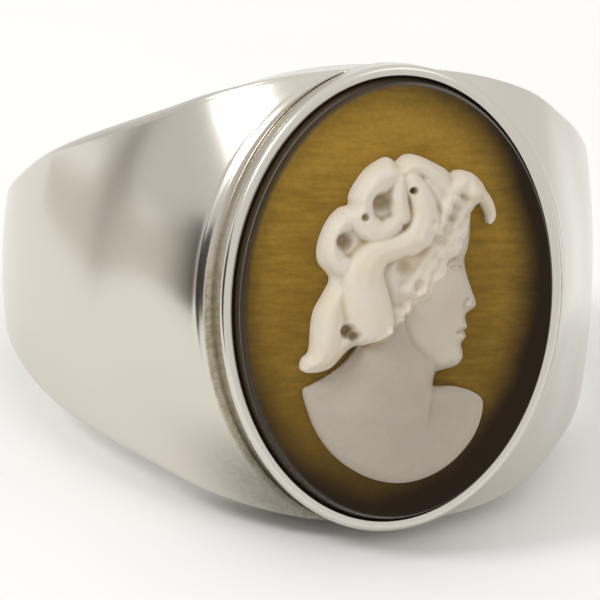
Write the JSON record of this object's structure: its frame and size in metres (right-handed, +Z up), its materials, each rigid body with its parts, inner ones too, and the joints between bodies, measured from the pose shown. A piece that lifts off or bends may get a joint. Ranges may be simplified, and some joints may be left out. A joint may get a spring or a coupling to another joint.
{
  "type": "cameo ring",
  "caption": "Silver finger ring with wide tapering shoulders and an oval bezel that holds a domed shell cameo of a bust in profile.",
  "frame": {"origin": "on the surface that the ring lies on, under the middle of its length", "axes": "+X to the wearer's side of the oval, -Y out of the bezel, +Z up. The ring lies on its side and leans back by the tilt at which it rests"},
  "size_m": [0.0218, 0.0263, 0.0164],
  "materials": {
    "silver": "polished sterling silver with fine wear",
    "brown_shell": "polished golden-brown shell",
    "white_shell": "carved matte white shell"
  },
  "bodies": {
    "root": {"ring_band": "silver", "cameo_ground": "brown_shell", "cameo_figure": "white_shell"}
  },
  "joints": []
}
